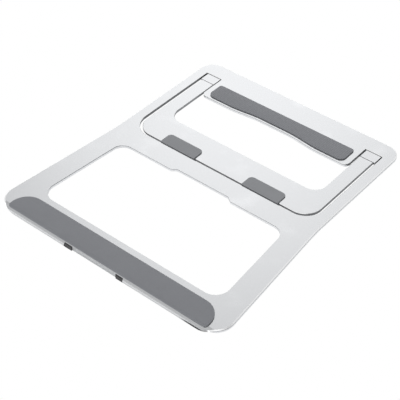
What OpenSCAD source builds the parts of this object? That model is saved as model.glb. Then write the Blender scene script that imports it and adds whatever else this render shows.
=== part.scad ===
// Folding laptop stand: a bent sheet plate with a window, a U-shaped leg that folds flush into it on two
// friction hinges, and rubber pads, sleeves and feet.
// Millimetres. +X across the stand, +Y towards the rear edge, +Z up, origin on the desk under the middle.

/* [Plate] */
// Depth of the plate, front to rear
plate_depth = 260; // [215:1:320]
// Half of the plate's width behind the waist
rear_half_w = 104.4; // [86:0.2:126]
// Half of the width that the sides reach at the front edge
front_half_w = 115.8; // [100:0.2:140]
// Distance from the rear edge to the waist, where the sides start to flare
waist_from_rear = 127; // [100:1:150]
// Thickness of the sheet
sheet_t = 2.8; // [2:0.1:4]
// Radius of the rear corners
rear_corner_r = 14; // [8:1:24]
// Radius of the front corners
front_corner_r = 17; // [8:1:28]
// Radius that eases the waist
waist_r = 180; // [50:10:300]

/* [Front lip] */
// Height of the top face above the desk when folded
stand_h = 5.6; // [5.5:0.1:9]
// Height of the lip's lower edge above the desk
lip_clear = 0.4; // [0.3:0.1:1.5]
// Outside radius of the bend between the plate and the lip
bend_r = 4.6; // [4.3:0.1:5]
// Length of the thumb recess in the lip
recess_len = 61; // [40:1:100]
// Sideways place of the recess's middle
recess_x = -7.6; // [-20:0.1:20]
// Depth of the recess into the lip
recess_depth = 1.5; // [1.2:0.1:1.8]
// Distance from the top face down to the recess
recess_drop = 1; // [0.8:0.1:2]
// Length of each lip bumper
bumper_len = 7.6; // [4:0.2:12]
// How far the bumpers lie behind the lip's face
bumper_setback = 0.8; // [0.2:0.1:0.9]

/* [Window] */
// Distance from the front edge to the window
window_from_front = 28.6; // [20:0.2:40]
// Width of the bridge between the window and the leg's cut-out
bridge_w = 21; // [12:0.1:40]
// Width of the plate beside the window at the front
window_side_front = 23.6; // [15:0.1:40]
// Width of the plate beside the window at the rear, from the straight sides' line
window_side_rear = 19.1; // [12:0.1:40]
// Radius of the window's front corners
window_front_r = 12.5; // [4:0.5:20]
// Radius of the window's rear corners
window_rear_r = 10.5; // [4:0.5:20]
// Half of the length of the finger notch in the window's rear edge
notch_half_w = 29.2; // [15:0.2:45]
// Depth of the finger notch
notch_depth = 3.4; // [2:0.2:8]
// Sideways run of the notch's sloped ends
notch_run = 4.6; // [3:0.2:8]
// Radius of the bends at the notch's ends
notch_r = 2.4; // [0.5:0.1:2.6]

/* [Leg] */
// Width of the plate's rails beside the leg's cut-out
rail_w = 9.8; // [6:0.1:16]
// Width of each arm
arm_w = 13; // [11:0.1:18]
// Width of the cross bar
bar_w = 29.5; // [18:0.1:36]
// Thickness of the leg's sheet
leg_t = 2.6; // [2:0.1:2.8]
// How far the leg lies below the plate's top face
leg_drop = 0.6; // [0.2:0.1:0.8]
// Distance from the rear edge to the leg's front edge
leg_front_from_rear = 118; // [98:0.2:146]
// Radius of the leg's outer corners
leg_outer_r = 16; // [6:0.5:24]
// Radius of the leg's inner corners
leg_inner_r = 11.5; // [4:0.5:16]
// Gap between the leg and the plate, outside the arms
leg_side_gap = 2.5; // [1:0.1:4]
// Gap between the leg and the plate, in front of the cross bar
leg_front_gap = 2.7; // [2:0.1:4]
// Gap between the arms and the tongue
tongue_gap = 1.2; // [0.8:0.1:3]

/* [Tongue] */
// Distance from the rear edge to the tongue's front edge
tongue_len = 45.5; // [38:0.5:60]
// How far the middle of the tongue's front edge steps back
tongue_wave = 3; // [0:0.2:6]
// Radius of the tongue's front corners
tongue_r = 5; // [1:0.5:8]
// Distance from the middle to where the step begins
wave_inner_x = 14; // [5:1:25]
// Distance from the middle to where the step ends
wave_outer_x = 48; // [35:1:60]

/* [Rubber] */
// Thickness of the pads
pad_t = 0.9; // [0.6:0.1:2]
// Thickness of the adhesive film under the pads
film_t = 0.15; // [0.1:0.05:0.3]
// How far the film stops short of its pad's outline
film_inset = 0.6; // [0.3:0.1:2]
// Width of the plate beside the front pad, from the front corner's line
front_pad_side = 14.2; // [10:0.2:40]
// Distance from the front edge to the front pad's rear edge
front_pad_rear = 22.5; // [16:0.5:26]
// Radius of the front pad's rear corners
front_pad_rear_r = 16; // [4:0.5:16.5]
// Radius of the front pad's front corners
front_pad_front_r = 3; // [1:0.5:3]
// Angle of the bend that the front pad covers
front_pad_roll = 35; // [10:1:60]
// Width of the tongue beside the rear pad
rear_pad_side = 5.8; // [2:0.1:12]
// Distance from the rear edge to the rear pad
rear_pad_from_rear = 24.8; // [20:0.1:32]
// Margin between the rear pad and the tongue's front edge
rear_pad_margin = 2.1; // [1:0.1:5]
// Radius of the rear pad's rear corners
rear_pad_rear_r = 2.5; // [0.5:0.5:5]
// Radius of the rear pad's front corners
rear_pad_front_r = 5.5; // [1:0.5:6]
// Length of each leg sleeve
sleeve_len = 36.8; // [20:0.2:50]
// Distance from a sleeve to the rounded corner of the leg
sleeve_end_gap = 14.3; // [2:0.1:20]
// How far a sleeve reaches over the cross bar
sleeve_reach = 11.7; // [8:0.1:18]
// Wall of a sleeve over and under the cross bar
sleeve_wall = 0.9; // [0.6:0.1:1.2]
// Wall of a sleeve in front of the cross bar
sleeve_front_wall = 1.6; // [1:0.1:1.7]
// Radius of a sleeve's rear corners
sleeve_r = 4; // [1:0.5:6]
// Length of each rear foot
rear_foot_len = 12; // [6:0.5:14]
// Depth of each rear foot, front to rear
rear_foot_depth = 8; // [5:0.5:8.5]

/* [Hinges] */
// Distance from the rear edge to the hinge slots
slot_from_rear = 16.6; // [15:0.1:22]
// Length of a hinge block, front to rear
block_len = 10; // [9.2:0.1:14]
// Gap between a hinge block and each side of its slot
block_side_gap = 1.2; // [0.4:0.1:1.6]
// Gap between a hinge block and the slot's end
block_gap = 0.3; // [0.2:0.1:1]
// Gap between a hinge block and the end of its arm
arm_end_gap = 0.3; // [0.2:0.1:0.6]
// Distance from the top face down to the hinge axis
axis_drop = 3.1; // [3:0.1:3.3]
// Distance from a block's front face back to the hinge axis
axis_back = 4.4; // [4.2:0.1:5]
// Radius of the hinge pin
pin_r = 1; // [0.8:0.1:1.1]
// Radius of a block's ears
ear_r = 2.1; // [2:0.1:2.2]
// Radius of a knuckle's barrel
barrel_r = 1.7; // [1.6:0.1:1.8]
// Width of a knuckle's barrel
barrel_w = 5.3; // [4:0.1:8]
// Thickness of a friction washer
washer_t = 0.5; // [0.3:0.05:0.8]
// Largest opening angle of the leg
open_angle = 100; // [80:1:110]
// Thickness of a hinge block's flange
flange_t = 1.4; // [1:0.1:1.6]
// How far a flange reaches past its block, sideways
flange_side = 4.5; // [4:0.1:6]
// Depth of a flange, front to rear
flange_depth = 16; // [13:0.5:18]
// Distance from the rear edge to a flange
flange_from_rear = 8; // [6:0.5:12]
// Thickness of a knuckle's leaf
leaf_t = 1.2; // [1:0.1:1.5]
// Length of a knuckle's leaf along the arm
leaf_len = 14; // [10:0.5:20]
// Margin between a knuckle's leaf and each side of its arm
leaf_margin = 1.55; // [0.5:0.05:3]
// Radius of a screw's shank
screw_r = 1.1; // [0.8:0.1:1.25]
// Radius of a screw's head
screw_head_r = 2; // [1.5:0.1:2.2]

/* [Hidden] */

// Sides, as multipliers of X
LEFT = -1;
RIGHT = 1;
// Play of the pin in its ears and in the running parts, and the margin that cuts run past a face
press_play = 0.01;
running_play = 0.04;
pocket_play = 0.3;
ear_play = 0.15;
cut = 1;
// Degrees for each step of an arc, and the facets of true circles
arc_step = 6;
round_fn = 48;
// Steps of each half of the tongue's wave
wave_steps = 8;

front_y = -plate_depth / 2;
rear_y = plate_depth / 2;
leg_half_w = rear_half_w - rail_w - leg_side_gap;
top_z = stand_h;
under_z = top_z - sheet_t;
bend = min(bend_r, top_z - lip_clear);
bend_y = front_y + bend;
bend_z = top_z - bend;

cutout_half_w = leg_half_w + leg_side_gap;
cutout_front_y = rear_y - leg_front_from_rear - leg_front_gap;
cutout_r = leg_outer_r + leg_side_gap;
tongue_half_w = leg_half_w - arm_w - tongue_gap;
tongue_front_y = rear_y - tongue_len;
slot_y = rear_y - slot_from_rear;
slot_r = 0.8;
hinge_mid_x = (cutout_half_w + tongue_half_w) / 2;

leg_top_z = top_z - leg_drop;
leg_under_z = leg_top_z - leg_t;
leg_front_y = rear_y - leg_front_from_rear;
leg_inner_half_w = leg_half_w - arm_w;

slot_w = cutout_half_w - tongue_half_w;
block_w = slot_w - 2 * block_side_gap;
block_rear_y = slot_y - block_gap;
block_front_y = block_rear_y - block_len;
arm_end_y = block_front_y - arm_end_gap;
axis_y = block_front_y + axis_back;
axis_z = top_z - axis_drop;

// The ends of the leg turn on an arc of this radius about the hinge axis
arm_end_reach = axis_y - arm_end_y;
pocket_w = barrel_w + 2 * washer_t + 2 * running_play;
pocket_top_z = axis_z + barrel_r + pocket_play;
pocket_rear = ear_r + ear_play;
// The heel stands proud of the barrel and meets the pocket's rear wall at the largest opening
heel_proud = 0.2;
heel_lap = 1;
heel_r = pocket_rear + heel_proud;
heel_angle = acos(pocket_rear / heel_r) + heel_lap;
shoulder_angle = 30;

screw_side_margin = 0.6;
screw_rear_margin = 1.6;
foot_margin = 1.5;
foot_r = 2;
flange_rear_y = rear_y - flange_from_rear;
flange_w = block_w + 2 * flange_side;
flange_z = under_z - flange_t;
flange_screw_x = flange_w / 2 - screw_head_r - screw_side_margin;
flange_screw_y = flange_rear_y - screw_head_r - screw_rear_margin;
foot_mid_y = flange_rear_y - foot_margin - rear_foot_depth / 2;
screw_head_h = screw_head_r - screw_r;
screw_play = 0.1;
screw_bite = 1.6;
hole_rest = 0.25;
hinge_screw_len = flange_t + screw_bite;
leaf_w = arm_w - 2 * leaf_margin;
leaf_z = leg_under_z - leaf_t;
leaf_screw_pitch = leaf_len / 2;
knuckle_screw_len = leaf_t + screw_bite;
drive_r = screw_head_r / 2;
drive_depth = 0.5;

window_front_y = front_y + window_from_front;
window_rear_y = cutout_front_y - bridge_w;
window_front_half_w = front_half_w - window_side_front;
window_rear_half_w = rear_half_w - window_side_rear;
recess_top_z = top_z - recess_drop;
recess_r = 1;
lip_corner_run = front_corner_r / 2;

front_pad_half_w = front_half_w - front_pad_side;
rear_pad_half_w = tongue_half_w - rear_pad_side;
sleeve_x = leg_half_w - leg_outer_r - sleeve_end_gap - sleeve_len;
front_pad_rear_y = front_y + front_pad_rear;
front_pad_front_y = bend_y - (bend + film_t + pad_t) * sin(front_pad_roll);
rear_pad_rear_y = rear_y - rear_pad_from_rear;
rear_pad_front_y = tongue_front_y + rear_pad_margin;

// ---- outlines -------------------------------------------------------------------------------------

function unit(v) = v / norm(v);
function turn_between(a, b) = (b - a + 540) % 360 - 180;

// Arc that rounds the corner c of a path, coming from p and going on to n
function corner_arc(p, c, n, r) =
    let (u = unit(p - c), w = unit(n - c), half = acos(u * w) / 2)
    let (centre = c + unit(u + w) * r / sin(half))
    let (from = c + u * r / tan(half) - centre, to = c + w * r / tan(half) - centre)
    let (a = atan2(from.y, from.x), turn = turn_between(a, atan2(to.y, to.x)))
    let (steps = max(2, ceil(abs(turn) / arc_step)))
    [for (i = [0 : steps]) centre + r * [cos(a + turn * i / steps), sin(a + turn * i / steps)]];

// Outline through the points [x, y, radius], each corner rounded to its radius
function rounded(path) =
    let (n = len(path), at = function(i) [path[i % n].x, path[i % n].y])
    [for (i = [0 : n - 1])
        each path[i][2] == 0 ? [at(i)] : corner_arc(at(i + n - 1), at(i), at(i + 1), path[i][2])];

// Points of an arc about c, from angle a to angle b
function arc(c, r, a, b) =
    let (steps = max(2, ceil(abs(b - a) / arc_step)))
    [for (i = [0 : steps]) c + r * [cos(a + (b - a) * i / steps), sin(a + (b - a) * i / steps)]];

// Smooth step of the tongue's front edge, as [x, y, 0] points for the given side, outwards from the middle
function wave_points(side, y) =
    [for (i = [0 : wave_steps])
        let (s = i / wave_steps)
        [side * (wave_inner_x + (wave_outer_x - wave_inner_x) * s), y + tongue_wave * (1 + cos(180 * s)) / 2, 0]];
function reversed(list) = [for (i = [len(list) - 1 : -1 : 0]) list[i]];
function wave_edge(y) = concat(reversed(wave_points(LEFT, y)), wave_points(RIGHT, y));

plate_path = [
    [-front_half_w, front_y, front_corner_r], [front_half_w, front_y, front_corner_r],
    [rear_half_w, rear_y - waist_from_rear, waist_r], [rear_half_w, rear_y, rear_corner_r],
    [-rear_half_w, rear_y, rear_corner_r], [-rear_half_w, rear_y - waist_from_rear, waist_r]];
window_path = [
    [-window_front_half_w, window_front_y, window_front_r],
    [window_front_half_w, window_front_y, window_front_r],
    [window_rear_half_w, window_rear_y, window_rear_r],
    [notch_half_w + notch_run / 2, window_rear_y, notch_r],
    [notch_half_w - notch_run / 2, window_rear_y + notch_depth, notch_r],
    [-notch_half_w + notch_run / 2, window_rear_y + notch_depth, notch_r],
    [-notch_half_w - notch_run / 2, window_rear_y, notch_r],
    [-window_rear_half_w, window_rear_y, window_rear_r]];
cutout_path = concat(
    [[-cutout_half_w, cutout_front_y, cutout_r], [cutout_half_w, cutout_front_y, cutout_r],
     [cutout_half_w, slot_y, slot_r], [tongue_half_w, slot_y, slot_r],
     [tongue_half_w, tongue_front_y, tongue_r]],
    reversed(wave_edge(tongue_front_y)),
    [[-tongue_half_w, tongue_front_y, tongue_r], [-tongue_half_w, slot_y, slot_r],
     [-cutout_half_w, slot_y, slot_r]]);
leg_path = [
    [-leg_half_w, leg_front_y, leg_outer_r], [leg_half_w, leg_front_y, leg_outer_r],
    [leg_half_w, arm_end_y, 0], [leg_inner_half_w, arm_end_y, 0],
    [leg_inner_half_w, leg_front_y + bar_w, leg_inner_r],
    [-leg_inner_half_w, leg_front_y + bar_w, leg_inner_r],
    [-leg_inner_half_w, arm_end_y, 0], [-leg_half_w, arm_end_y, 0]];

function front_pad_path(inset) = [
    [-front_pad_half_w + inset, front_pad_front_y + inset, front_pad_front_r - inset],
    [front_pad_half_w - inset, front_pad_front_y + inset, front_pad_front_r - inset],
    [front_pad_half_w - inset, front_pad_rear_y - inset, front_pad_rear_r - inset],
    [-front_pad_half_w + inset, front_pad_rear_y - inset, front_pad_rear_r - inset]];
function rear_pad_path(inset) = concat(
    [[-rear_pad_half_w + inset, rear_pad_front_y + inset, rear_pad_front_r - inset]],
    wave_edge(rear_pad_front_y + inset),
    [[rear_pad_half_w - inset, rear_pad_front_y + inset, rear_pad_front_r - inset],
     [rear_pad_half_w - inset, rear_pad_rear_y - inset, rear_pad_rear_r - inset],
     [-rear_pad_half_w + inset, rear_pad_rear_y - inset, rear_pad_rear_r - inset]]);

// ---- shared shapes --------------------------------------------------------------------------------

// Extrudes a [y, z] outline along X, centred
module along_x(length) {
    rotate([90, 0, 90])
        linear_extrude(length, center = true)
            children();
}

// Extrudes an [x, z] outline along Y, from y0 towards the rear
module along_y(y0, length) {
    translate([0, y0 + length, 0])
        rotate([90, 0, 0])
            linear_extrude(length)
                children();
}

// Section of a skin that follows the top face and the bend, between two heights above the sheet's face
module bent_skin(low, high, roll) {
    centre = [bend_y, bend_z];
    polygon(concat(
        [[rear_y, top_z + high]], arc(centre, bend + high, 90, 90 + roll),
        arc(centre, bend + low, 90 + roll, 90), [[rear_y, top_z + low]]));
}

// Countersunk screw that points up from its head, or the hole for it when grown by play
module screw(length, play) {
    cylinder(h = screw_head_h, r1 = screw_head_r + play, r2 = screw_r + play, $fn = round_fn);
    cylinder(h = length, r = screw_r + play, $fn = round_fn);
}

module driven_screw(length) {
    difference() {
        screw(length, 0);
        translate([0, 0, -cut])
            cylinder(h = drive_depth + cut, r = drive_r, $fn = 6);
    }
}

module at_hinge_screws(side) {
    for (s = [LEFT, RIGHT])
        translate([side * hinge_mid_x + s * flange_screw_x, flange_screw_y, flange_z])
            children();
}

module at_knuckle_screws(side) {
    for (s = [LEFT, RIGHT])
        translate([side * hinge_mid_x, arm_end_y - leaf_len / 2 + s * leaf_screw_pitch / 2, leaf_z])
            children();
}

// Cylinder along X on the hinge axis
module on_axis(side, length, r) {
    translate([side * hinge_mid_x, axis_y, axis_z])
        rotate([0, 90, 0])
            cylinder(h = length, r = r, center = true, $fn = round_fn);
}

// ---- plate ----------------------------------------------------------------------------------------

// Section of the bent sheet, from the rear edge round the bend to the lip's lower edge
module sheet_section() {
    centre = [bend_y, bend_z];
    polygon(concat(
        [[rear_y, under_z], [rear_y, top_z]], arc(centre, bend, 90, 180), [[front_y, lip_clear]],
        [[front_y + sheet_t, lip_clear]], arc(centre, bend - sheet_t, 180, 90)));
}

// Front view of the plate: the lip's lower edge climbs to the sheet towards the corners
module front_view() {
    half = front_half_w;
    flat = half - front_corner_r;
    rise = under_z - lip_clear;
    climb = [for (a = [0 : arc_step : 90]) [flat + lip_corner_run * sin(a), lip_clear + rise * (1 - cos(a))]];
    right = concat(climb, [[half, under_z], [half, top_z]]);
    polygon(concat(right, [for (p = reversed(right)) [-p.x, p.y]]));
}

// Front view of the thumb recess, open at the lip's lower edge
module recess_view() {
    half = recess_len / 2;
    polygon(rounded([
        [recess_x - half, lip_clear - cut, 0], [recess_x + half, lip_clear - cut, 0],
        [recess_x + half, recess_top_z, recess_r], [recess_x - half, recess_top_z, recess_r]]));
}

module base_plate() {
    color([0.82, 0.83, 0.84])
        difference() {
            intersection() {
                linear_extrude(top_z + cut)
                    difference() {
                        polygon(rounded(plate_path));
                        polygon(rounded(window_path));
                        polygon(rounded(cutout_path));
                    }
                along_x(2 * front_half_w + cut)
                    sheet_section();
                along_y(front_y - cut, plate_depth + 2 * cut)
                    front_view();
            }
            along_y(front_y - cut, recess_depth + cut)
                recess_view();
            for (side = [LEFT, RIGHT])
                at_hinge_screws(side)
                    cylinder(h = hinge_screw_len + hole_rest, r = screw_r + press_play, $fn = round_fn);
        }
}

// ---- pads, bumpers and feet -----------------------------------------------------------------------

module front_pad() {
    color([0.5, 0.51, 0.52])
        intersection() {
            linear_extrude(top_z + pad_t + cut)
                polygon(rounded(front_pad_path(0)));
            along_x(2 * front_half_w)
                bent_skin(film_t, film_t + pad_t, front_pad_roll);
        }
}

module front_pad_adhesive() {
    color([0.9, 0.88, 0.8])
        intersection() {
            linear_extrude(top_z + pad_t + cut)
                polygon(rounded(front_pad_path(film_inset)));
            along_x(2 * front_half_w)
                bent_skin(0, film_t, front_pad_roll);
        }
}

module rear_pad() {
    color([0.5, 0.51, 0.52])
        translate([0, 0, top_z + film_t])
            linear_extrude(pad_t)
                polygon(rounded(rear_pad_path(0)));
}

module rear_pad_adhesive() {
    color([0.9, 0.88, 0.8])
        translate([0, 0, top_z])
            linear_extrude(film_t)
                polygon(rounded(rear_pad_path(film_inset)));
}

// Small rubber block that fills one end of the recess and reaches the desk
module lip_bumper(side) {
    mid = recess_x + side * (recess_len - bumper_len) / 2;
    color([0.12, 0.12, 0.13])
        intersection() {
            along_y(front_y + bumper_setback, recess_depth - bumper_setback)
                intersection() {
                    polygon(rounded([
                        [recess_x - recess_len / 2, 0, 0], [recess_x + recess_len / 2, 0, 0],
                        [recess_x + recess_len / 2, recess_top_z, recess_r],
                        [recess_x - recess_len / 2, recess_top_z, recess_r]]));
                    translate([mid - bumper_len / 2, 0])
                        square([bumper_len, recess_top_z]);
                }
            along_x(2 * front_half_w)
                polygon(concat(
                    [[front_y, 0], [rear_y, 0], [rear_y, top_z]], arc([bend_y, bend_z], bend, 90, 180)));
        }
}

module rear_foot(side) {
    half = [rear_foot_len / 2, rear_foot_depth / 2];
    color([0.3, 0.31, 0.32])
        translate([side * hinge_mid_x, foot_mid_y, 0])
            linear_extrude(flange_z)
                polygon(rounded([
                    [-half.x, -half.y, foot_r], [half.x, -half.y, foot_r],
                    [half.x, half.y, foot_r], [-half.x, half.y, foot_r]]));
}

// ---- hinges ---------------------------------------------------------------------------------------

// Block flush with the leg in the end of its slot, with two ears for the pin and a screwed flange below
module hinge_block(side) {
    mid_x = side * hinge_mid_x;
    color([0.78, 0.79, 0.8])
        difference() {
            union() {
                translate([mid_x - block_w / 2, block_front_y, under_z])
                    cube([block_w, block_len, leg_top_z - under_z]);
                translate([mid_x - flange_w / 2, flange_rear_y - flange_depth, flange_z])
                    cube([flange_w, flange_depth, flange_t]);
                on_axis(side, block_w, ear_r);
            }
            translate([mid_x - pocket_w / 2, block_front_y - cut, -cut])
                cube([pocket_w, axis_back + pocket_rear + cut, pocket_top_z + cut]);
            on_axis(side, block_w + cut, pin_r + press_play);
            at_hinge_screws(side)
                screw(hinge_screw_len, screw_play);
        }
}

module hinge_screws(side) {
    color([0.55, 0.56, 0.58])
        at_hinge_screws(side)
            driven_screw(hinge_screw_len);
}

module hinge_pin(side) {
    color([0.6, 0.61, 0.63])
        on_axis(side, block_w - 2 * pocket_play, pin_r);
}

module friction_washers(side) {
    color([0.68, 0.6, 0.38])
        difference() {
            on_axis(side, pocket_w - running_play, barrel_r);
            on_axis(side, barrel_w + running_play, barrel_r + cut);
            on_axis(side, pocket_w + cut, pin_r + running_play);
        }
}

// ---- leg ------------------------------------------------------------------------------------------

module leg_frame() {
    color([0.84, 0.85, 0.86])
        difference() {
            translate([0, 0, leg_under_z])
                linear_extrude(leg_t)
                    polygon(rounded(leg_path));
            for (side = [LEFT, RIGHT])
                at_knuckle_screws(side)
                    cylinder(h = knuckle_screw_len + hole_rest, r = screw_r + press_play, $fn = round_fn);
        }
}

// Rubber channel pushed over the front edge of the cross bar
module leg_sleeve(side) {
    sleeve_front_y = leg_front_y - sleeve_front_wall;
    x0 = side * (sleeve_x + sleeve_len / 2) - sleeve_len / 2;
    rear_edge_y = leg_front_y + sleeve_reach;
    color([0.48, 0.49, 0.5])
        difference() {
            translate([0, 0, leg_under_z - sleeve_wall])
                linear_extrude(leg_t + 2 * sleeve_wall)
                    polygon(rounded([
                        [x0, sleeve_front_y, sleeve_wall], [x0 + sleeve_len, sleeve_front_y, sleeve_wall],
                        [x0 + sleeve_len, rear_edge_y, sleeve_r], [x0, rear_edge_y, sleeve_r]]));
            translate([x0 - cut, leg_front_y, leg_under_z])
                cube([sleeve_len + 2 * cut, sleeve_reach + cut, leg_t]);
        }
}

// Side view of a knuckle's barrel and its neck, as [y, z] from the hinge axis; the heel is the stop
module knuckle_view() {
    heel = heel_r * [cos(open_angle + heel_angle), -sin(open_angle + heel_angle)];
    shoulder = barrel_r * [-sin(shoulder_angle), cos(shoulder_angle)];
    circle(r = barrel_r, $fn = round_fn);
    polygon([[0, 0], heel, [-arm_end_reach, leaf_z - axis_z], [-arm_end_reach, leg_under_z - axis_z],
        shoulder]);
}

// Leaf screwed under the end of an arm, with the barrel that turns on the pin
module leg_knuckle(side) {
    color([0.62, 0.63, 0.65])
        difference() {
            union() {
                translate([side * hinge_mid_x - leaf_w / 2, arm_end_y - leaf_len, leaf_z])
                    cube([leaf_w, leaf_len, leaf_t]);
                translate([side * hinge_mid_x, axis_y, axis_z])
                    along_x(barrel_w)
                        knuckle_view();
            }
            on_axis(side, barrel_w + cut, pin_r + running_play);
            at_knuckle_screws(side)
                screw(knuckle_screw_len, screw_play);
        }
}

module knuckle_screws(side) {
    color([0.55, 0.56, 0.58])
        at_knuckle_screws(side)
            driven_screw(knuckle_screw_len);
}

base_plate();
front_pad();
front_pad_adhesive();
rear_pad();
rear_pad_adhesive();
lip_bumper(LEFT);  // lip_bumper_left
lip_bumper(RIGHT);  // lip_bumper_right
rear_foot(LEFT);  // rear_foot_left
rear_foot(RIGHT);  // rear_foot_right
hinge_block(LEFT);  // hinge_block_left
hinge_block(RIGHT);  // hinge_block_right
hinge_screws(LEFT);  // hinge_screws_left
hinge_screws(RIGHT);  // hinge_screws_right
hinge_pin(LEFT);  // hinge_pin_left
hinge_pin(RIGHT);  // hinge_pin_right
friction_washers(LEFT);  // friction_washers_left
friction_washers(RIGHT);  // friction_washers_right
leg_frame();
leg_sleeve(LEFT);  // leg_sleeve_left
leg_sleeve(RIGHT);  // leg_sleeve_right
leg_knuckle(LEFT);  // leg_knuckle_left
leg_knuckle(RIGHT);  // leg_knuckle_right
knuckle_screws(LEFT);  // knuckle_screws_left
knuckle_screws(RIGHT);  // knuckle_screws_right
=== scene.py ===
"""Folding laptop stand: a bent aluminium plate, a leg that folds into it, and its pads, feet and hinges."""

import math

import bmesh
import bpy
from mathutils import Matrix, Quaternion, Vector


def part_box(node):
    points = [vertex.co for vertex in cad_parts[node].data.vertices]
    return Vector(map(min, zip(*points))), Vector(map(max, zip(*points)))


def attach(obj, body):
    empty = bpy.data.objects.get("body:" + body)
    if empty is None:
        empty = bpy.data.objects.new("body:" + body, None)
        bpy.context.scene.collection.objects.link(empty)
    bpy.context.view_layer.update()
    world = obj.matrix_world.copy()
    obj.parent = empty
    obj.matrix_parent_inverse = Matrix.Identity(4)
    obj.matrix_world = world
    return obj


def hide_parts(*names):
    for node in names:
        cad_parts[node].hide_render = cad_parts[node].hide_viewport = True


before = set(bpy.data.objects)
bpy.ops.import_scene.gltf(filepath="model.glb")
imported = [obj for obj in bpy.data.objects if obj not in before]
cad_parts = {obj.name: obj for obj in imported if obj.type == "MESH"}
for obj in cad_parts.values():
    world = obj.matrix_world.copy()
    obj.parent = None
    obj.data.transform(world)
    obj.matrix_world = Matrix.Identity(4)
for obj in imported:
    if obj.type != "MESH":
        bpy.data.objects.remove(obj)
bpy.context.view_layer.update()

# ---- Bent plate ---------------------------------------------------------------------------------------
# One aluminium sheet, cut with its window and the leg's cut-out, with a polished chamfer milled along each
# edge, wide on the outside and hair-thin in the window. A press turns the front edge down into a short lip
# with a thumb recess. The faces are bead-blasted, then anodised silver.
WELD = 1e-5
SHARP = math.radians(30)
LEVEL = 0.999  # upward part of the normal of a face that counts as level
STRAIGHT = math.radians(0.4)
OUTER_CHAMFER = (0.0010, 0.0006)  # width and depth of a chamfer
GAP_CHAMFER = (0.0003, 0.0003)
WINDOW_CHAMFER = (0.00012, 0.00012)
UNDER_CHAMFER = 0.0003
# height of the thin dark line painted under each chamfer as a dark reflection
PAINTED_LINE_HEIGHT = 0.0005
BEND_ROWS = 12
CORNER_STEPS = 14
CORNER_REACH = 0.72  # handle along the side edge, as a share of the reach forwards
CORNER_EASE = 0.35  # handle along the front edge, as a share of the corner's run
LIP_CORNER_RUN = 0.015
FORWARD_WALL = -0.3  # the cut-out's walls that face forwards keep the bright wall; the others keep the painted gap shade
RECESS_RIB_SCALE = 330.0
BLASTED, POLISHED, CUT_WALL, SHADED_GAP_WALL, PAINTED_DARK_LINE, RIBBED = range(6)
plate_low, plate_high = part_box("base_plate")


def node_mesh(node):
    """A working copy of a CAD node's mesh, with its triangles joined up."""
    mesh = bmesh.new()
    mesh.from_mesh(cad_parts[node].data)
    bmesh.ops.remove_doubles(mesh, verts=mesh.verts, dist=WELD)
    return mesh


def underside(node):
    """The height of the widest face that a node turns to the desk."""
    mesh = node_mesh(node)
    areas = {}
    for face in mesh.faces:
        if face.normal.z < -LEVEL:
            height = round(face.calc_center_median().z, 6)
            areas[height] = areas.get(height, 0) + face.calc_area()
    mesh.free()
    return max(areas, key=areas.get)


def face_outlines(node, height):
    """Outlines of a node's upward faces at a height, widest first, each with the material on its left."""
    mesh = node_mesh(node)
    level = {face for face in mesh.faces
             if face.normal.z > LEVEL and abs(face.calc_center_median().z - height) < WELD}
    onward = {}
    for face in level:
        for loop in face.loops:
            if loop.link_loop_radial_next.face not in level:
                onward[loop.vert] = loop.link_loop_next.vert
    outlines = []
    while onward:
        start, here = onward.popitem()
        outline = [start.co.xy.copy()]
        while here != start:
            outline.append(here.co.xy.copy())
            here = onward.pop(here)
        outlines.append(without_straight_points(outline))
    mesh.free()
    return sorted(outlines, key=lambda points: -max(p.x for p in points))


def without_straight_points(outline):
    """The outline without the points that lie on a straight run."""
    kept = []
    for before, here, after in neighbours(outline):
        if (here - before).angle(after - here) > STRAIGHT:
            kept.append(here)
    return kept


def neighbours(outline):
    """Each point of an outline, between the points before and after it."""
    return zip(outline[-1:] + outline[:-1], outline, outline[1:] + outline[:1])


def inset(outline, distance):
    """The outline moved into the material by a distance."""
    moved = []
    for before, here, after in neighbours(outline):
        a, b = (here - before).normalized(), (after - here).normalized()
        moved.append(here + Vector((-a.y - b.y, a.x + b.x)) * distance / (1 + a.dot(b)))
    return moved


def with_rolled_front(outline, bend_y, front_y, corner_run):
    """The outline with its straight front edge at bend_y carried on to front_y, round two eased corners."""
    at_bend = [abs(p.y - bend_y) < WELD for p in outline]
    first = next(i for i, p in enumerate(outline) if at_bend[i] and not at_bend[i - 1] and p.x < 0)
    turned = outline[first:] + outline[:first]
    front = []
    for corner, inner in ((turned[0], turned[-1]), (turned[1], turned[2])):
        side = math.copysign(1, corner.x)
        along = (corner - inner).normalized()
        end = Vector((corner.x - side * corner_run, front_y))
        reach = (corner.y - front_y) * CORNER_REACH
        turn = curve(corner, corner + along * reach, end + Vector((side * corner_run * CORNER_EASE, 0)), end)
        front += turn if side < 0 else turn[::-1]
    return front + turned[2:]


def curve(a, b, c, d):
    """Points of the cubic curve from a to d, with handles at b and c."""
    return [a * (1 - t) ** 3 + b * 3 * t * (1 - t) ** 2 + c * 3 * t * t * (1 - t) + d * t ** 3
            for t in (i / CORNER_STEPS for i in range(CORNER_STEPS + 1))]


def sheet_mesh(outlines, *profiles):
    """A flat part from its outlines, each with its own profile or all with the one that is given.

    A profile has steps of (height, inset, finish of the band below), from the top down.
    """
    mesh = bmesh.new()
    caps = {0: [], -1: []}
    for outline, steps in zip(outlines, profiles * len(outlines)):
        rings = [[mesh.verts.new((p.x, p.y, height)) for p in inset(outline, distance)]
                 for height, distance, _ in steps]
        for upper, lower, (_, _, band) in zip(rings, rings[1:], steps):
            for i in range(len(upper)):
                j = (i + 1) % len(upper)
                mesh.faces.new((lower[i], lower[j], upper[j], upper[i])).material_index = band
        for end, edges in caps.items():
            ring = rings[end]
            edges += [mesh.edges.get((ring[i - 1], ring[i])) for i in range(len(ring))]
    for edges in caps.values():
        bmesh.ops.triangle_fill(mesh, use_beauty=True, edges=edges)
    bmesh.ops.recalc_face_normals(mesh, faces=mesh.faces)
    return mesh


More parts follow.
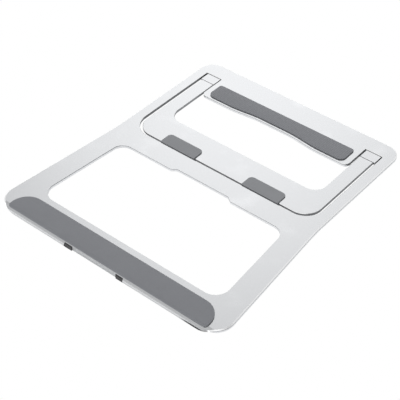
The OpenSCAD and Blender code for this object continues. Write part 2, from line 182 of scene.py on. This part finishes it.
def sheet_profile(low, high, chamfer, wall):
    """Profile of a sheet's edge: polished chamfer, a thin dark line painted under it in place of a dark
    reflection, wall, and a small lower chamfer.
    """
    width, depth = chamfer
    return ((high, width, POLISHED), (high - depth, 0, PAINTED_DARK_LINE), (high - depth - PAINTED_LINE_HEIGHT, 0, wall),
            (low + UNDER_CHAMFER, 0, POLISHED), (low, UNDER_CHAMFER, BLASTED))


def bend_down(mesh, bend_y, radius, top_z):
    """Turns what lies in front of the bend line down round the bend; the sheet's top face is at top_z."""
    row = radius * math.pi / 2 / BEND_ROWS
    for y in [bend_y + row] + [bend_y - row * i for i in range(BEND_ROWS + 1)]:
        bmesh.ops.bisect_plane(mesh, geom=mesh.verts[:] + mesh.edges[:] + mesh.faces[:], dist=WELD / 10,
                               plane_co=(0, y, 0), plane_no=(0, 1, 0))
    for vert in mesh.verts:
        along = bend_y - vert.co.y
        if along > 0:
            angle = min(along / radius, math.pi / 2)
            out = radius + vert.co.z - top_z
            vert.co.y = bend_y - out * math.sin(angle)
            vert.co.z = top_z - radius + out * math.cos(angle) - max(0, along - radius * math.pi / 2)


def piece(name, mesh, body, finishes, nodes):
    """Makes a piece of a mesh, smooth but for its sharp edges, and lets it stand for its CAD nodes."""
    data = bpy.data.meshes.new(name)
    mesh.to_mesh(data)
    mesh.free()
    made = bpy.data.objects.new(name, data)
    bpy.context.scene.collection.objects.link(made)
    for finish in finishes:
        data.materials.append(finish)
    data.shade_smooth()
    data.set_sharp_from_angle(angle=SHARP)
    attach(made, body)
    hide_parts(*nodes)
    return made


def applied(made, kind, **settings):
    """Adds a modifier to a piece and makes its result, with flat faces shaded flat, the piece's own mesh."""
    modifier = made.modifiers.new(kind.title(), kind)
    for key, value in settings.items():
        setattr(modifier, key, value)
    bake(made)
    made.data.shade_smooth()
    made.data.set_sharp_from_angle(angle=SHARP)
    made.modifiers.new("Flat faces", "WEIGHTED_NORMAL").keep_sharp = True
    bake(made)
    return made


def bake(made):
    """Makes what a piece's modifiers give its own mesh."""
    depsgraph = bpy.context.evaluated_depsgraph_get()
    made.data = bpy.data.meshes.new_from_object(made.evaluated_get(depsgraph), preserve_all_data_layers=True,
                                                depsgraph=depsgraph)
    made.modifiers.clear()


class Value:
    """A shader socket that takes part in sums and products; numbers stay numbers."""

    def __init__(self, finish, socket):
        self.finish = finish
        self.socket = socket

    def maths(self, operation, a, b):
        return self.finish.node("ShaderNodeMath", {"operation": operation}, {0: a, 1: b})

    def __add__(self, other):
        return self.maths("ADD", self, other)

    def __sub__(self, other):
        return self.maths("SUBTRACT", self, other)

    def __rsub__(self, other):
        return self.maths("SUBTRACT", other, self)

    def __mul__(self, other):
        return self.maths("MULTIPLY", self, other)

    __radd__ = __add__
    __rmul__ = __mul__


class Finish:
    """A material, with the nodes behind its shader; the constants go straight to the shader's sockets."""

    def __init__(self, name, **constants):
        self.material = bpy.data.materials.new(name)
        self.material.use_nodes = True
        self.tree = self.material.node_tree
        self.shader = self.tree.nodes["Principled BSDF"]
        self.place = self.node("ShaderNodeTexCoord", {}, {}, "Object")
        for key, value in constants.items():
            self.shader.inputs[key.replace("_", " ")].default_value = value

    def node(self, kind, settings, sockets, output=0):
        """A node of a kind, with its settings and what goes into its sockets; gives one of its outputs."""
        made = self.tree.nodes.new(kind)
        for key, value in settings.items():
            if key == "stops":
                for _ in value[2:]:
                    made.color_ramp.elements.new(1)
                for element, (position, shade) in zip(made.color_ramp.elements, value):
                    element.position = position
                    element.color = (shade, shade, shade, 1)
            else:
                setattr(made, key, value)
        for key, value in sockets.items():
            self.feed(made.inputs[key], value)
        return Value(self, made.outputs[output])

    def feed(self, socket, value):
        """Links a value to a socket, or sets the socket to a number or colour."""
        if isinstance(value, Value):
            self.tree.links.new(value.socket, socket)
        else:
            socket.default_value = value

    def stretched(self, factors):
        """The place on the piece, stretched by a factor along each axis."""
        return self.node("ShaderNodeVectorMath", {"operation": "MULTIPLY"}, {0: self.place, 1: factors})

    def noise(self, scale, detail=2.0, place=None):
        """Noise from 0 to 1 with features 1 / scale metres long."""
        return self.node("ShaderNodeTexNoise", {},
                         {"Vector": place or self.place, "Scale": scale, "Detail": detail})

    def ribs(self, scale):
        """Even ribs that run from front to back, 0 between them and 1 on their crests."""
        return self.node("ShaderNodeTexWave", {"bands_direction": "X"},
                         {"Vector": self.place, "Scale": scale}, "Fac")

    def ramp(self, value, low, high):
        """0 below low, 1 above high."""
        return self.node("ShaderNodeValToRGB", {"stops": ((low, 0), (high, 1))}, {"Fac": value})

    def between(self, a, b, factor):
        """A colour between a and b."""
        return self.node("ShaderNodeMix", {"data_type": "RGBA"}, {0: factor, 6: (*a, 1), 7: (*b, 1)}, 2)

    def surface(self, colour=None, roughness=None, bump=None, bump_depth=0.0, bump_strength=1.0):
        """Links what varies over the surface, and returns the material."""
        if colour is not None:
            self.feed(self.shader.inputs["Base Color"], colour)
        if roughness is not None:
            self.feed(self.shader.inputs["Roughness"], roughness)
        if bump is not None:
            relief = self.node("ShaderNodeBump", {},
                               {"Height": bump, "Distance": bump_depth, "Strength": bump_strength}, "Normal")
            self.feed(self.shader.inputs["Normal"], relief)
        return self.material


def blasted_aluminium(name, dark, light, roughness):
    """Bead-blasted, anodised aluminium: a grain of fine pits, with faint cloudiness and handling marks."""
    finish = Finish(name, Metallic=1.0)
    pits = finish.noise(2600, detail=3)
    cloud = finish.noise(14, detail=3)
    marks = finish.ramp(finish.noise(38, detail=5), low=0.56, high=0.74)
    return finish.surface(colour=finish.between(dark, light, pits * 0.45 + cloud * 0.55),
                          roughness=roughness + pits * 0.05 + cloud * 0.03 - marks * 0.035,
                          bump=pits, bump_depth=0.00003, bump_strength=0.35)


def polished_aluminium(name, light, shading):
    """Diamond-cut chamfer: bright, with the faint lines that the cutter leaves along it."""
    finish = Finish(name, Metallic=1.0)
    lines = finish.noise(900)
    dark = tuple(shading * part for part in light)
    return finish.surface(colour=finish.between(dark, light, lines), roughness=0.12 + lines * 0.08,
                          bump=lines, bump_depth=0.000004, bump_strength=0.3)


def cut_wall_aluminium(name, dark, light):
    """Cut wall of the sheet, anodised with it: fine lines across the thickness."""
    finish = Finish(name, Metallic=1.0)
    lines = finish.noise(1200, place=finish.stretched((1, 1, 0.06)))
    return finish.surface(colour=finish.between(dark, light, lines), roughness=0.28 + lines * 0.08,
                          bump=lines, bump_depth=0.000004, bump_strength=0.25)


def ribbed_aluminium(name, dark, light):
    """Floor of the thumb recess, milled in fine upright ribs, dark between them and light on their crests:
    painted shade and highlight that stand in for the recess's shade.
    """
    finish = Finish(name, Metallic=1.0)
    ribs = finish.ribs(RECESS_RIB_SCALE)
    return finish.surface(colour=finish.between(dark, light, ribs), roughness=0.42 + ribs * 0.05,
                          bump=ribs, bump_depth=0.0002, bump_strength=0.8)


plate_finishes = [
    blasted_aluminium("blasted_silver", (0.455, 0.461, 0.471), (0.500, 0.507, 0.516), 0.26),
    polished_aluminium("polished_chamfer", (0.95, 0.955, 0.96), 0.93),
    cut_wall_aluminium("milled_wall", (0.74, 0.75, 0.77), (0.82, 0.83, 0.845)),
    # painted shade: a darker copy of the cut wall for the walls in the leg's gaps, where shade falls
    cut_wall_aluminium("gap_wall_painted_shade", (0.24, 0.245, 0.255), (0.31, 0.315, 0.325)),
    # painted reflection: the thin dark band under each chamfer
    cut_wall_aluminium("painted_dark_reflection_line", (0.22, 0.23, 0.25), (0.28, 0.29, 0.31)),
    # painted shade: the recess floor's darker ribs stand in for the shade inside the recess
    ribbed_aluminium("ribbed_recess_painted_shade", (0.30, 0.31, 0.32), (0.62, 0.63, 0.64))]

under_z = underside("base_plate")
top_outlines = face_outlines("base_plate", plate_high.z)
bend_y = min(p.y for p in top_outlines[0])
bend_radius = bend_y - plate_low.y
lip_reach = bend_radius * math.pi / 2 + plate_high.z - bend_radius - plate_low.z
top_outlines[0] = with_rolled_front(top_outlines[0], bend_y, bend_y - lip_reach, LIP_CORNER_RUN)
plate_mesh = sheet_mesh(
    top_outlines, sheet_profile(under_z, plate_high.z, OUTER_CHAMFER, CUT_WALL),
    sheet_profile(under_z, plate_high.z, GAP_CHAMFER, SHADED_GAP_WALL),
    sheet_profile(under_z, plate_high.z, WINDOW_CHAMFER, CUT_WALL))
# Gap walls that face forwards get the bright wall back; the rest keep their painted shade.
for face in plate_mesh.faces:
    if face.material_index == SHADED_GAP_WALL and face.normal.y < FORWARD_WALL:
        face.material_index = CUT_WALL
bend_down(plate_mesh, bend_y, bend_radius, plate_high.z)
plate = piece("bent_plate", plate_mesh, "base", plate_finishes, ["base_plate"])

recess_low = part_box("lip_bumper_left")[0]
recess_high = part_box("lip_bumper_right")[1]
RECESS_RADIUS = 0.001
RECESS_ARC_STEPS = 6
CUTTER_SPARE = 0.002
FRONTWARD = -0.9  # the recess floor faces the front


def thumb_recess_cutter():
    """A block with two rounded upper corners that stands where the recess is cut."""
    foot_z = plate_low.z - CUTTER_SPARE
    arch = []
    for x, side in ((recess_low.x, 1), (recess_high.x, -1)):
        arc = []
        for i in range(RECESS_ARC_STEPS + 1):
            angle = math.pi / 2 * i / RECESS_ARC_STEPS
            arc.append((x + side * RECESS_RADIUS * (1 - math.cos(angle)),
                        recess_high.z - RECESS_RADIUS * (1 - math.sin(angle))))
        arch += arc if side > 0 else arc[::-1]
    arch = [(recess_low.x, foot_z)] + arch + [(recess_high.x, foot_z)]
    mesh = bmesh.new()
    face = mesh.faces.new([mesh.verts.new((x, plate_low.y - CUTTER_SPARE, z)) for x, z in arch])
    grown = bmesh.ops.extrude_face_region(mesh, geom=[face])["geom"]
    for vert in grown:
        if isinstance(vert, bmesh.types.BMVert):
            vert.co.y = recess_high.y
    bmesh.ops.recalc_face_normals(mesh, faces=mesh.faces)
    data = bpy.data.meshes.new("recess_cutter")
    mesh.to_mesh(data)
    mesh.free()
    cutter = bpy.data.objects.new("recess_cutter", data)
    bpy.context.scene.collection.objects.link(cutter)
    return cutter


cutter = thumb_recess_cutter()
applied(plate, "BOOLEAN", operation="DIFFERENCE", object=cutter, solver="EXACT")
bpy.data.objects.remove(cutter)
# The recess floor gets the ribbed finish with its painted shade.
for polygon in plate.data.polygons:
    if polygon.normal.y < FRONTWARD and abs(polygon.center.y - recess_high.y) < WELD:
        polygon.material_index = RIBBED

# ---- Folding leg --------------------------------------------------------------------------------------
# A U of the same sheet, cut and chamfered like the plate. It lies in the plate's cut-out a little below the
# top face, and its two arms are screwed to the hinge knuckles at the rear.
leg_low, leg_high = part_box("leg_frame")
leg_outlines = face_outlines("leg_frame", leg_high.z)
# All the leg's walls carry the painted gap shade.
leg_mesh = sheet_mesh(leg_outlines, sheet_profile(leg_low.z, leg_high.z, GAP_CHAMFER, SHADED_GAP_WALL))
piece("folding_leg", leg_mesh, "leg", plate_finishes[:RIBBED], ["leg_frame"])

# ---- Laptop pads --------------------------------------------------------------------------------------
# Two moulded silicone pads, stuck on with film. The ribbed one lies on the tongue between the hinges. The
# smooth one covers the front border and rolls over the bend, so that it holds the laptop's edge.
PAD_EDGE = 0.0003
PAD_EDGE_STEPS = 4
PAD_CORNER_RUN = 0.003
PAD_DARK = (0.190, 0.196, 0.213)
PAD_LIGHT = (0.246, 0.253, 0.272)
PAD_ROUGHNESS = 0.48
RIB_SCALE = 175.0


def rounded_edge(top_z, radius, steps, low_z):
    """Steps of a sheet mesh whose top edge is rounded."""
    angles = [math.pi / 2 * i / steps for i in range(steps + 1)]
    rounding = [(top_z - radius * (1 - math.cos(a)), radius * (1 - math.sin(a)), 0) for a in angles]
    return rounding + [(low_z, 0, 0)]


def silicone(name, dark, light, roughness, rib_relief_and_painted_shade=0.0):
    """Matte rubber: a fine moulded grain, a little clinging dust, and, where it has a rib shade, moulded
    ribs with painted shade between them and a painted highlight on their crests.
    """
    finish = Finish(name, IOR=1.42, Sheen_Weight=0.15, Sheen_Roughness=0.5)
    grain = finish.noise(3200)
    mottle = finish.noise(60, detail=4)
    dust = finish.ramp(finish.noise(900, detail=3), low=0.70, high=0.78)
    tone = grain * 0.35 + mottle * 0.5 + dust * 0.35
    relief = grain
    if rib_relief_and_painted_shade:
        ribs = finish.ribs(RIB_SCALE)
        # painted shade between the ribs and painted highlight on their crests; the same amount sets the
        # ribs' relief
        tone = tone + (ribs - 0.5) * rib_relief_and_painted_shade
        relief = grain + ribs * rib_relief_and_painted_shade
    return finish.surface(colour=finish.between(dark, light, tone),
                          roughness=roughness + grain * 0.12 + mottle * 0.06,
                          bump=relief, bump_depth=0.00006, bump_strength=0.5)


rear_low, rear_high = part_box("rear_pad")
rear_outlines = face_outlines("rear_pad", rear_high.z)
rear_mesh = sheet_mesh(rear_outlines, rounded_edge(rear_high.z, PAD_EDGE, PAD_EDGE_STEPS, rear_low.z))
ribbed_finish = silicone("ribbed_silicone", PAD_DARK, PAD_LIGHT, PAD_ROUGHNESS, rib_relief_and_painted_shade=0.8)
piece("rear_laptop_pad", rear_mesh, "base", [ribbed_finish], ["rear_pad"])

film_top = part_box("front_pad_adhesive")[1].z
pad_low, pad_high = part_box("front_pad")
pad_roll = math.asin((bend_y - pad_low.y) / (bend_radius + pad_high.z - plate_high.z))
front_outlines = face_outlines("front_pad", pad_high.z)
front_outlines[0] = with_rolled_front(front_outlines[0], bend_y, bend_y - pad_roll * bend_radius,
                                      PAD_CORNER_RUN)
front_mesh = sheet_mesh(front_outlines, rounded_edge(pad_high.z, PAD_EDGE, PAD_EDGE_STEPS, film_top))
bend_down(front_mesh, bend_y, bend_radius, plate_high.z)
pad_finish = silicone("pad_silicone", PAD_DARK, PAD_LIGHT, PAD_ROUGHNESS)
piece("front_laptop_pad", front_mesh, "base", [pad_finish], ["front_pad"])


def adhesive_film(name, dark, light):
    """Acrylic film, slightly yellow, with bubbles."""
    finish = Finish(name, IOR=1.47)
    bubbles = finish.ramp(finish.noise(500), low=0.55, high=0.65)
    return finish.surface(colour=finish.between(dark, light, bubbles), roughness=0.35 + bubbles * 0.2,
                          bump=bubbles, bump_depth=0.00002, bump_strength=0.3)


def dress(node, material):
    """Gives a CAD node its material."""
    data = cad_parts[node].data
    data.materials.clear()
    data.materials.append(material)


film_finish = adhesive_film("adhesive_film", (0.62, 0.60, 0.52), (0.74, 0.72, 0.66))
dress("front_pad_adhesive", film_finish)
dress("rear_pad_adhesive", film_finish)

# ---- Lip bumpers --------------------------------------------------------------------------------------
# Two black rubber blocks that fill the ends of the thumb recess and carry the stand's front edge on the
# desk. Each is glued into the recess, a little behind the lip's face.
BUMPER_EDGE = 0.0003
FLAT = math.radians(1)


def eased_copy(name, node, radius, body, finish, segments=2):
    """A piece with a CAD node's shape and its sharp edges eased to a radius."""
    mesh = node_mesh(node)
    bmesh.ops.dissolve_limit(mesh, angle_limit=FLAT, verts=mesh.verts, edges=mesh.edges)
    made = piece(name, mesh, body, [finish], [node])
    return applied(made, "BEVEL", width=radius, segments=segments, limit_method="ANGLE", angle_limit=SHARP)


bumper_finish = silicone("bumper_rubber", (0.014, 0.014, 0.016), (0.03, 0.03, 0.033), 0.5)
for side in ("left", "right"):
    eased_copy("bumper_" + side, "lip_bumper_" + side, BUMPER_EDGE, "base", bumper_finish)

# ---- Leg sleeves --------------------------------------------------------------------------------------
# Two short channels of ribbed grey rubber, pushed over the front edge of the leg's cross bar. The leg stands
# on them when it is open.
SLEEVE_EDGE = 0.0003
sleeve_finish = silicone("sleeve_rubber", (0.236, 0.243, 0.257), (0.302, 0.310, 0.325), 0.58, rib_relief_and_painted_shade=0.6)
for side in ("left", "right"):
    eased_copy("sleeve_" + side, "leg_sleeve_" + side, SLEEVE_EDGE, "leg", sleeve_finish, 3)

# ---- Rear feet ----------------------------------------------------------------------------------------
# Two dark grey rubber feet, moulded with eased edges. Each is glued under the flange of a hinge block, and
# the rear edge of the folded stand rests on them.
FOOT_EDGE = 0.0004
foot_finish = silicone("foot_rubber", (0.06, 0.062, 0.065), (0.10, 0.102, 0.105), 0.6)
for side in ("left", "right"):
    eased_copy("foot_" + side, "rear_foot_" + side, FOOT_EDGE, "base", foot_finish, 3)

# ---- Hinge blocks -------------------------------------------------------------------------------------
# Extruded aluminium blocks that close the rear end of each arm's slot, flush with the leg. Two screws hold
# each block's flange under the plate, and its two ears carry the pin.
BLOCK_EDGE = 0.0002
block_finish = blasted_aluminium("hinge_aluminium", (0.45, 0.456, 0.466), (0.495, 0.502, 0.512), 0.26)
for side in ("left", "right"):
    eased_copy("hinge_body_" + side, "hinge_block_" + side, BLOCK_EDGE,
               "base", block_finish)

# ---- Knuckles, pins, washers and screws ----------------------------------------------------------------
# A steel knuckle under each arm turns on a ground steel pin between two bronze washers, whose friction holds
# the leg at any angle. Countersunk hexagon-drive screws hold the knuckles and the blocks.
KNUCKLE_EDGE = 0.00012


def ground_metal(name, dark, light, roughness):
    """Metal with fine lines left by grinding, and faint stains."""
    finish = Finish(name, Metallic=1.0)
    lines = finish.noise(1500, place=finish.stretched((0.1, 1, 1)))
    stain = finish.noise(120, detail=3)
    return finish.surface(colour=finish.between(dark, light, lines * 0.6 + stain * 0.4),
                          roughness=roughness + lines * 0.12,
                          bump=lines, bump_depth=0.00001, bump_strength=0.4)


knuckle_finish = ground_metal("knuckle_steel", (0.42, 0.43, 0.44), (0.56, 0.57, 0.58), 0.3)
pin_finish = ground_metal("pin_steel", (0.50, 0.51, 0.52), (0.64, 0.65, 0.66), 0.2)
screw_finish = ground_metal("screw_steel", (0.36, 0.37, 0.38), (0.50, 0.51, 0.52), 0.28)
washer_finish = ground_metal("washer_bronze", (0.42, 0.30, 0.13), (0.56, 0.42, 0.20), 0.3)
for side in ("left", "right"):
    eased_copy("knuckle_" + side, "leg_knuckle_" + side, KNUCKLE_EDGE,
               "leg", knuckle_finish)
    dress("hinge_pin_" + side, pin_finish)
    dress("friction_washers_" + side, washer_finish)
    dress("hinge_screws_" + side, screw_finish)
    dress("knuckle_screws_" + side, screw_finish)

# ---- Studio -------------------------------------------------------------------------------------------
# A white desk under soft light from all round, with a bright card in front of the lip, a small dark flag at
# its right corner, a soft box over the rear left, and a dark screen at the right. The camera doesn't see the
# desk, because the opened leg reaches below it.
FLOOR_SIZE = 6.0
FLOOR_GLOW = 0.3
FLOOR_WHITE = (0.9, 0.9, 0.9)
FRONT_CARD_Y = -0.125
FRONT_CARD_BLEND = 0.03
FRONT_CARD_GLOW = 1.1  # the mix that uses it holds it to 1, so the blend is a little steeper
FLAG_BLACK = (0.03, 0.03, 0.035)
FLAG_CENTRE = (0.092, -0.1385, 0)
FLAG_RADIUS = 0.010
FLAG_BLEND = 0.006
floor_mesh = bmesh.new()
bmesh.ops.create_grid(floor_mesh, x_segments=1, y_segments=1, size=FLOOR_SIZE)
floor_data = bpy.data.meshes.new("floor")
floor_mesh.to_mesh(floor_data)
floor_mesh.free()
floor = bpy.data.objects.new("floor", floor_data)
bpy.context.scene.collection.objects.link(floor)
floor_finish = Finish("pale_floor", Roughness=0.8, Emission_Strength=1.0)
forwards = floor_finish.node("ShaderNodeSeparateXYZ", {}, {0: floor_finish.place}, "Y")
card = floor_finish.ramp(FRONT_CARD_Y - forwards, 0.0, FRONT_CARD_BLEND)
from_flag = floor_finish.node("ShaderNodeVectorMath", {"operation": "DISTANCE"},
                              {0: floor_finish.place, 1: FLAG_CENTRE}, "Value")
beyond_flag = floor_finish.ramp(from_flag, FLAG_RADIUS, FLAG_RADIUS + FLAG_BLEND)
glow = card * (FRONT_CARD_GLOW - FLOOR_GLOW) + FLOOR_GLOW
floor_finish.feed(floor_finish.shader.inputs["Emission Color"],
                  floor_finish.between((0, 0, 0), (1, 1, 1), glow * beyond_flag))
floor_data.materials.append(floor_finish.surface(floor_finish.between(FLAG_BLACK, FLOOR_WHITE, beyond_flag)))
floor.visible_camera = False

SKY_STRENGTHS = ((0.0, 1.0), (0.5, 0.95), (0.8, 0.92), (1.0, 1.1))
SOFT_BOX_DIRECTION = Vector((-0.50, 0.66, 0.56)).normalized()
SOFT_BOX_STRENGTH = 1.6
SOFT_BOX_EDGE = (0.945, 0.995)
BACKDROP_SHADE = 0.26
BACKDROP_EDGE = (0.6, 0.9)
SCREEN_SHADE = 0.8
SCREEN_EDGE = (0.40, 0.62)


class Sky(Finish):
    """The studio's surroundings, with the same ways to make nodes as a finish."""

    def __init__(self, name):
        world = bpy.data.worlds.new(name)
        bpy.context.scene.world = world
        world.use_nodes = True
        self.tree = world.node_tree
        self.place = self.node("ShaderNodeTexCoord", {}, {}, "Generated")


sky = Sky("studio")
sideways = sky.node("ShaderNodeSeparateXYZ", {}, {0: sky.place}, "X")
upwards = sky.node("ShaderNodeSeparateXYZ", {}, {0: sky.place}, "Z")
dome = sky.node("ShaderNodeValToRGB", {"stops": SKY_STRENGTHS}, {"Fac": upwards * 0.5 + 0.5})
facing = sky.node("ShaderNodeVectorMath", {"operation": "DOT_PRODUCT"},
                  {0: sky.place, 1: SOFT_BOX_DIRECTION}, "Value")
behind_box = 1 - sky.ramp(facing, *BACKDROP_EDGE) * BACKDROP_SHADE
soft_box = sky.ramp(facing, *SOFT_BOX_EDGE) * SOFT_BOX_STRENGTH
beside_screen = 1 - sky.ramp(sideways, *SCREEN_EDGE) * SCREEN_SHADE
strength = (dome * behind_box + soft_box) * beside_screen
camera_ray = sky.node("ShaderNodeLightPath", {}, {}, "Is Camera Ray")
background = sky.tree.nodes["Background"]
sky.feed(background.inputs["Strength"], strength * (1 - camera_ray) + camera_ray)
background.inputs["Color"].default_value = (1, 1, 1, 1)

bpy.context.scene.view_settings.view_transform = "Standard"

# ---- Camera -------------------------------------------------------------------------------------------
# A long lens that looks down on the folded stand from over its front right corner, and takes all of it in.
CAMERA_TARGET = Vector((0.01176, -0.02583, 0.0056))
CAMERA_AZIMUTH = math.radians(39.47)
CAMERA_ELEVATION = math.radians(41.79)
CAMERA_ROLL = math.radians(0.22)
CAMERA_DISTANCE = 0.8951
LENS = 100.86
SENSOR_WIDTH = 36
away = Vector((math.sin(CAMERA_AZIMUTH) * math.cos(CAMERA_ELEVATION),
               -math.cos(CAMERA_AZIMUTH) * math.cos(CAMERA_ELEVATION), math.sin(CAMERA_ELEVATION)))
camera_data = bpy.data.cameras.new("camera")
camera_data.lens = LENS
camera_data.sensor_width = SENSOR_WIDTH
camera = bpy.data.objects.new("camera", camera_data)
camera.location = CAMERA_TARGET + away * CAMERA_DISTANCE
camera.rotation_mode = "QUATERNION"
camera.rotation_quaternion = away.to_track_quat("Z", "Y") @ Quaternion((0, 0, 1), CAMERA_ROLL)
bpy.context.scene.collection.objects.link(camera)
bpy.context.scene.camera = camera
